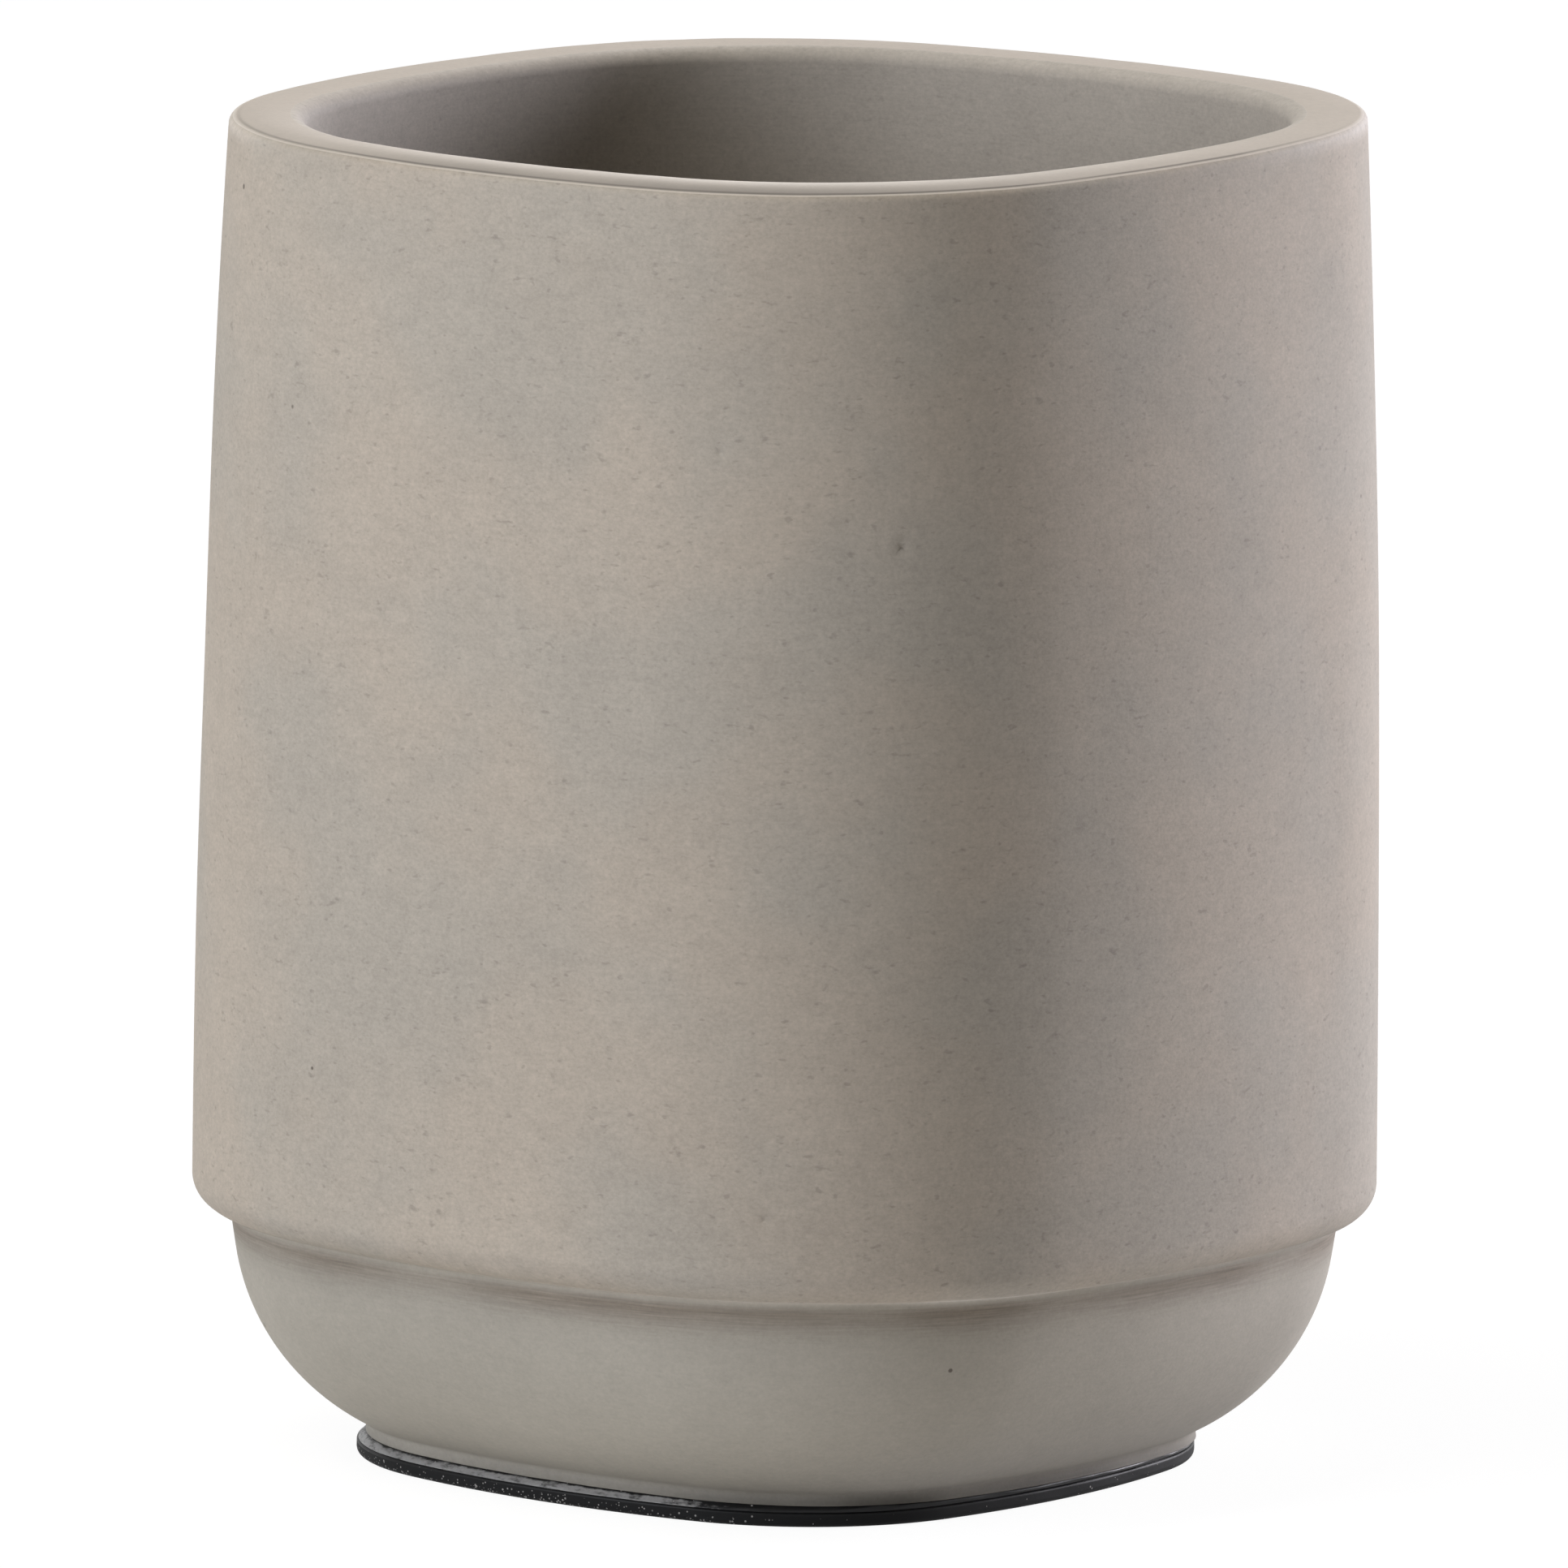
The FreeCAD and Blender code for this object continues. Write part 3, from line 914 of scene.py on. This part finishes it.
def glossy_film():
    """Dark bonding film with a slight sheen, with pale level patches that are partly cement smear and partly
    painted sheen.
    """
    dust_share = 0.1
    clean_share = 0.55
    smear_start = 0.2
    smear_full = 0.54
    plain_roughness = 0.28
    grain_roughness = 0.15
    relief = 0.000006
    finishes = bpy.context.scene.tumbler_finishes
    material, tree, shader, position = new_material("Bonding film")
    sand = place_effect(tree, grain_effect(), Position=position, Depth=0.2)
    specks = calc(tree, "MULTIPLY", amount(tree, "smear"), dust_share)
    dust = place_effect(tree, dust_effect(), Position=position, Amount=specks)
    flattened = scaled(tree, position, factors=(1.0, 1.0, 3.0))
    patches = noise(tree, flattened, size=0.0010, detail=3.0, roughness=0.6)
    clean = calc(tree, "SUBTRACT", 1.0, amount(tree, "smear"))
    start = calc(tree, "MULTIPLY_ADD", clean, clean_share, smear_start)
    full = calc(tree, "MULTIPLY_ADD", clean, clean_share, smear_full)
    # Pale patches: cement smear, partly painted sheen of the left light
    tone = mix(tree, fade(tree, patches, start, full), solid(finishes.film_dark), solid(finishes.film_smear_and_sheen))
    tone = mix(tree, 1.0, tone, sand["Shade"], "MULTIPLY")
    feed(tree, shader.inputs["Base Color"], mix(tree, dust["Mask"], tone, solid(finishes.dust_tone)))
    rough = calc(tree, "MULTIPLY_ADD", sand["Height"], grain_roughness, plain_roughness, clamp=True)
    feed(tree, shader.inputs["Roughness"], rough)
    shader.inputs["Specular IOR Level"].default_value = 0.2
    bumped(tree, shader, calc(tree, "ADD", sand["Height"], patches), relief)
    return material


# Pieces

class TUMBLER_OT_cup(bpy.types.Operator):
    """Build the cast concrete cup"""

    bl_idname = "tumbler.cup"
    bl_label = "Cup"

    def execute(self, context):
        sizes = context.scene.tumbler_cup
        wear = context.scene.tumbler_wear
        rng = np.random.default_rng(CUP_SEED)
        columns = plan_columns(sizes)
        grid, zones = swept_rows(columns, cup_outline(sizes))
        grid, zones = with_ends(grid, zones, CUP_RINGS)
        span = np.linalg.norm(np.diff(grid[:, 0], axis=0), axis=1)
        along = np.concatenate(([0.0], np.cumsum(span)))

        # Mouth, drawn in a little at the corners
        rim_rows = along[zones == "rim"]
        across_rim = np.clip((along - rim_rows[0]) / (rim_rows[-1] - rim_rows[0]), 0, 1)
        plan_facing = columns[2]
        corner_share = 0.5 - 0.5 * np.cos(4 * plan_facing)
        outward = np.stack((np.cos(plan_facing), np.sin(plan_facing)), axis=-1)
        grid[..., :2] -= (sizes.corner_wall * across_rim[:, None] * corner_share)[..., None] * outward

        def near(zone, at, reach):
            """How close each row is to a place in a zone, 1 there and fading over a reach."""
            inside = along[zones == zone]
            place = inside[0] + (inside[-1] - inside[0]) * at
            return falloff(along - place, reach)

        # Slow casting waves, and unevenness along the edges
        edges = sum(near(*place) for place in UNEVEN_EDGES)
        slow = waves(grid, rng, sizes.wave_length) * sizes.wave_depth
        fine = waves(grid, rng, sizes.edge_length, FINE_WAVES) * sizes.edge_depth
        shift = slow + fine * np.minimum(edges, 1.0)[:, None]
        shift[zones == "under_cap"] = 0.0
        grid = grid + grid_normals(grid) * shift[..., None]

        # Rim's outer edge, rubbed down on its most worn side, with its tiny drop on the front alone
        facing = np.arctan2(grid[..., 1], grid[..., 0])
        lip_share = facing_share(facing, wear.lip_facing, LIP_SHARPNESS)
        quirk_share = side_share(facing, sizes.quirk_facing, sizes.quirk_spread, sizes.quirk_fading)
        near_edge = falloff(np.maximum(along[zones == "edge"][0] - along, 0), sizes.rim_fall_reach)
        fall = (1 - across_rim) ** 2 * near_edge
        grid[..., 2] -= sizes.rim_fall * fall[:, None] * lip_share
        level_edge = near_edge * (along < rim_rows[0])
        grid[..., 2] += sizes.quirk_depth * level_edge[:, None] * (1 - quirk_share)
        grid = leaned(grid, sizes)

        # Material of each row
        slots = np.full(len(zones), WALL_SLOT)
        slots[np.isin(zones, ("quirk", "rim"))] = RIM_SLOT
        slots[np.flatnonzero(zones == "edge")[-SANDED_ROWS:]] = RIM_SLOT
        slots[np.isin(zones, ("lip", "inside", "round", "floor"))] = INSIDE_SLOT
        slots[np.isin(zones, ("under_cap", "foot", "neck", "bowl", "straight", "under"))] = BOWL_SLOT
        mesh = grid_mesh("cup", grid, slots)

        # Dark band under the step: rubbed lines, and painted shade from the step above
        patchy = patchiness(grid, rng, wear.patch_size)
        below = along[zones == "under"][0] - along
        past = below - wear.band_drop
        band = falloff(past, np.where(past < 0, wear.band_above, wear.band_below))
        add_amount(mesh, "rubbed", np.clip(band[:, None] * lifted(patchy, least=0.6), 0, 1))

        # Painted highlights on the edges of step and rim and on the shoulder under the step, partly worn
        # edges
        # Share of the step's painted highlight and the foot's painted shade on each side
        painted_light_share = facing_share(facing, wear.painted_light_facing, PAINTED_LIGHT_SHARPNESS)
        # Painted highlight on the step's lower edge, partly a worn arris, and on the shoulder under it
        step_highlight_line = wear.step_highlight * near("step", at=0.12, reach=wear.step_reach)
        step_highlight_line += wear.corner_highlight * falloff(below, wear.corner_reach)
        # Painted highlight along the rim's inner edge, strongest on its worn side
        soft_lip_highlight = wear.lip_highlight * near("lip", at=0.0, reach=wear.lip_reach) * (zones == "lip")
        lip_highlight_line = soft_lip_highlight[:, None] + near("rim", at=1.0, reach=wear.rim_reach)[:, None] * lip_share
        # Painted highlight on the rim's outer round, away from its drop
        edge_highlight_line = wear.edge_highlight * near("edge", at=0.5, reach=wear.edge_reach)[:, None] * (1 - quirk_share)
        edge_highlight_line[np.isin(zones, ("quirk", "rim"))] = 0.0
        worn = step_highlight_line[:, None] * painted_light_share ** 2 * lifted(patchy, least=0.45)
        worn += lip_highlight_line * lifted(patchy, least=0.8) + edge_highlight_line
        add_amount(mesh, "worn", np.clip(worn, 0, 1))

        # Painted shade on the foot's lip under the bowl, on the outer part of the worn rim and along its tiny
        # drop
        # Painted shade on the foot's lip under the bowl
        foot_shade_line = near("foot", at=0.3, reach=wear.foot_shade_reach)
        # Painted shade on the outer part of the worn rim
        rim_shade_line = wear.rim_shade * near("rim", at=0.0, reach=wear.rim_shade_reach) * (zones == "rim")
        # Painted shade along the rim's tiny drop
        quirk_shade_line = wear.quirk_shade * near("quirk", at=1.0, reach=wear.quirk_shade_reach)
        grime = foot_shade_line[:, None] * lifted(painted_light_share, least=0.25)
        grime += rim_shade_line[:, None] * lip_share + quirk_shade_line[:, None] * quirk_share
        add_amount(mesh, "grime", np.clip(grime * lifted(patchy, least=0.7), 0, 1))

        # Pits left by air bubbles
        count = grid.shape[1]
        walls = np.flatnonzero(np.isin(zones, ("wall", "bowl", "inside")))
        for pits, thickness, depth in PITS:
            picks = rng.choice(walls, pits) * count + rng.integers(0, count, pits)
            press_pits(mesh, sorted(set(picks.tolist())), thickness, depth)
        place_piece("cup", mesh, cup_materials(), "cup_body")
        return {"FINISHED"}


class TUMBLER_OT_pad(bpy.types.Operator):
    """Build the rubber pad under the foot"""

    bl_idname = "tumbler.pad"
    bl_label = "Pad"

    def execute(self, context):
        sizes = context.scene.tumbler_pad
        rng = np.random.default_rng(PAD_SEED)
        columns = plan_columns(context.scene.tumbler_cup)
        grid, zones = swept_rows(columns, pad_outline(context.scene.tumbler_cup, sizes))
        grid, zones = with_ends(grid, zones, PAD_RINGS)
        shift = waves(grid, rng, sizes.wave_length, FINE_WAVES) * sizes.wave_depth
        shift *= np.isin(zones, ("side", "shoulder"))[:, None]
        grid = grid + grid_normals(grid) * shift[..., None]
        patchy = patchiness(grid, rng, sizes.dust_patches)
        level = grid[..., 2] / pad_high.z
        placed = grid + np.array((pad_middle.x, pad_middle.y, 0.0))
        mesh = grid_mesh("pad", placed, np.zeros(len(zones), int))
        glossy = (zones == "shoulder").astype(float)
        add_amount(mesh, "gloss", np.repeat(glossy[:, None], grid.shape[1], axis=1))
        dusty = dusty_share(grid, context.scene.tumbler_finishes)
        dust = (sizes.dust_level - level) * sizes.dust_gain * lifted(patchy, least=0.5) * dusty
        add_amount(mesh, "dust", np.clip(dust, 0, 1))
        place_piece("pad", mesh, (rubber(),), "base_pad")
        return {"FINISHED"}


class TUMBLER_OT_film(bpy.types.Operator):
    """Build the bonding film between foot and pad"""

    bl_idname = "tumbler.film"
    bl_label = "Bonding film"

    def execute(self, context):
        sizes = context.scene.tumbler_film
        cup = context.scene.tumbler_cup
        rng = np.random.default_rng(FILM_SEED)
        columns = plan_columns(cup)
        # Lower edge on the pad, upper edge on the leaning foot
        pad_side = (pad_high.x - pad_low.x - cup.body_width) / 2
        ends = [
            ("low", np.array([(pad_side - sizes.pad_gap, pad_high.z)])),
            ("high", np.array([(-cup.foot_inset - sizes.foot_gap, cup.foot_level)])),
        ]
        low, high = swept_rows(columns, ends)[0]
        low = low + np.array((pad_middle.x, pad_middle.y, 0.0))
        high = leaned(high, cup)
        rise = np.linspace(0.0, 1.0, FILM_ROWS)[:, None, None]
        grid = low * (1 - rise) + high * rise
        out = grid[..., :2] / np.linalg.norm(grid[..., :2], axis=2, keepdims=True)
        swell = sizes.bulge + waves(grid, rng, sizes.wave_length, FINE_WAVES) * sizes.wave_depth
        grid[..., :2] += out * (swell * np.sin(math.pi * rise[..., 0]))[..., None]
        grid, zones = with_ends(grid, np.array(["side"] * len(grid)), FILM_RINGS)
        mesh = grid_mesh("film", grid, np.zeros(len(zones), int))
        # Cement smear and painted sheen of the left light on the lower part of the film's edge
        smeared = np.linspace(SMEAR_FIRST, SMEAR_LAST, len(zones)).clip(0, 1) * (zones == "side")
        smear = dusty_share(grid, context.scene.tumbler_finishes) * smeared[:, None]
        add_amount(mesh, "smear", smear)
        place_piece("bonding_film", mesh, (glossy_film(),), "adhesive_film")
        return {"FINISHED"}


# Studio

def seen_directly(tree):
    """1 for what the camera sees, straight or mirrored, and 0 for light that falls on the cup."""
    path = tree.nodes.new("ShaderNodeLightPath").outputs
    mirrored = calc(tree, "MAXIMUM", path["Is Glossy Ray"], path["Is Transmission Ray"])
    return calc(tree, "MAXIMUM", path["Is Camera Ray"], mirrored)


def direction(azimuth, elevation):
    """Unit vector from the cup towards an azimuth and elevation."""
    level = math.cos(elevation)
    return Vector((math.sin(azimuth) * level, -math.cos(azimuth) * level, math.sin(elevation)))


def add_window(name, s, side):
    """Large soft light that faces the cup, with its turn measured from the camera."""
    lamp = bpy.data.lights.new(name, "AREA")
    lamp.shape = "RECTANGLE"
    lamp.size = getattr(s, side + "_width")
    lamp.size_y = getattr(s, side + "_height")
    lamp.energy = getattr(s, side + "_power")
    lamp.color = getattr(s, side + "_tint")
    window = bpy.data.objects.new(name, lamp)
    bpy.context.scene.collection.objects.link(window)
    facing = direction(s.azimuth + getattr(s, side + "_turn"), getattr(s, side + "_rise"))
    window.location = facing * s.lamp_distance + Vector((0.0, 0.0, (cad_low.z + cad_high.z) / 2))
    window.rotation_euler = (-facing).to_track_quat("-Z", "Y").to_euler()


def add_camera(s):
    """Camera at the photograph's angle."""
    camera = bpy.data.objects.new("camera", bpy.data.cameras.new("camera"))
    bpy.context.scene.collection.objects.link(camera)
    camera.data.sensor_width = SENSOR_WIDTH
    camera.data.lens = s.lens
    camera.data.clip_end = SIGHT
    back = direction(s.azimuth, s.elevation)
    right = Vector((math.cos(s.azimuth), math.sin(s.azimuth), 0.0))
    up = back.cross(right)
    aim = Vector((0.0, 0.0, s.aim_level)) + right * s.aim_side
    rolled_right = right * math.cos(s.roll) + up * math.sin(s.roll)
    rolled_up = up * math.cos(s.roll) - right * math.sin(s.roll)
    place = Matrix((rolled_right, rolled_up, back)).transposed().to_4x4()
    place.translation = aim + back * s.distance
    camera.matrix_world = place
    bpy.context.scene.camera = camera


def add_floor(s):
    """Wide pale floor that reads white and keeps the cup's shadow."""
    work = bmesh.new()
    bmesh.ops.create_grid(work, x_segments=FLOOR_SQUARES, y_segments=FLOOR_SQUARES, size=s.floor_reach)
    mesh = bpy.data.meshes.new("floor")
    work.to_mesh(mesh)
    work.free()
    floor = bpy.data.objects.new("floor", mesh)
    bpy.context.scene.collection.objects.link(floor)
    material = bpy.data.materials.new("Pale floor")
    material.use_nodes = True
    tree = material.node_tree
    tree.nodes.remove(tree.nodes["Principled BSDF"])
    matte = tree.nodes.new("ShaderNodeBsdfDiffuse")
    matte.inputs["Color"].default_value = solid(s.floor_tone)
    shadowed = tree.nodes.new("ShaderNodeBsdfDiffuse")
    shadowed.inputs["Color"].default_value = solid(s.floor_shaded)
    white = tree.nodes.new("ShaderNodeEmission")
    white.inputs["Strength"].default_value = s.floor_white
    both = tree.nodes.new("ShaderNodeAddShader")
    tree.links.new(shadowed.outputs[0], both.inputs[0])
    tree.links.new(white.outputs[0], both.inputs[1])
    blend = tree.nodes.new("ShaderNodeMixShader")
    tree.links.new(seen_directly(tree), blend.inputs[0])
    tree.links.new(matte.outputs[0], blend.inputs[1])
    tree.links.new(both.outputs[0], blend.inputs[2])
    tree.links.new(blend.outputs[0], tree.nodes["Material Output"].inputs["Surface"])
    mesh.materials.append(material)


def add_sky(s):
    """Even pale light from all round, seen as white."""
    world = bpy.data.worlds.new("studio")
    bpy.context.scene.world = world
    world.use_nodes = True
    tree = world.node_tree
    light = tree.nodes["Background"]
    light.inputs["Color"].default_value = solid(s.sky_tint)
    light.inputs["Strength"].default_value = s.sky
    white = tree.nodes.new("ShaderNodeBackground")
    white.inputs["Color"].default_value = solid(WHITE)
    blend = tree.nodes.new("ShaderNodeMixShader")
    tree.links.new(seen_directly(tree), blend.inputs[0])
    tree.links.new(light.outputs[0], blend.inputs[1])
    tree.links.new(white.outputs[0], blend.inputs[2])
    tree.links.new(blend.outputs[0], tree.nodes["World Output"].inputs["Surface"])


class TUMBLER_OT_stage(bpy.types.Operator):
    """Set up the floor, the sky, the lamps and the camera"""

    bl_idname = "tumbler.stage"
    bl_label = "Studio"

    def execute(self, context):
        s = context.scene.tumbler_stage
        context.scene.view_settings.view_transform = "Standard"
        add_floor(s)
        add_sky(s)
        add_window("left_window", s, "left")
        add_window("top_light", s, "top")
        add_window("right_window", s, "right")
        add_camera(s)
        return {"FINISHED"}


class TUMBLER_PT_tools(bpy.types.Panel):
    """Tumbler tools"""

    bl_idname = "TUMBLER_PT_tools"
    bl_label = "Tumbler"
    bl_space_type = "VIEW_3D"
    bl_region_type = "UI"
    bl_category = "Tumbler"

    def draw(self, context):
        for operator in OPERATORS:
            self.layout.operator(operator.bl_idname)
        for name in SETTINGS:
            group = getattr(context.scene, name)
            column = self.layout.column(align=True)
            for prop in group.__annotations__:
                column.prop(group, prop)


OPERATORS = (TUMBLER_OT_cup, TUMBLER_OT_pad, TUMBLER_OT_film, TUMBLER_OT_stage)
SETTINGS = {
    "tumbler_cup": CupSizes,
    "tumbler_pad": PadSizes,
    "tumbler_film": FilmSizes,
    "tumbler_finishes": Finishes,
    "tumbler_wear": WearSettings,
    "tumbler_stage": StageSettings,
}
CLASSES = (*SETTINGS.values(), *OPERATORS, TUMBLER_PT_tools)


def register():
    """Registers the classes and gives the scene their settings."""
    for entry in CLASSES:
        bpy.utils.register_class(entry)
    for name, group in SETTINGS.items():
        setattr(bpy.types.Scene, name, PointerProperty(type=group))


def unregister():
    """Takes the settings and the classes away again."""
    for name in SETTINGS:
        delattr(bpy.types.Scene, name)
    for entry in reversed(CLASSES):
        bpy.utils.unregister_class(entry)


def main():
    """Builds the pieces and the studio."""
    register()
    bpy.ops.tumbler.cup()
    bpy.ops.tumbler.pad()
    bpy.ops.tumbler.film()
    bpy.ops.tumbler.stage()


if __name__ == "__main__":
    main()
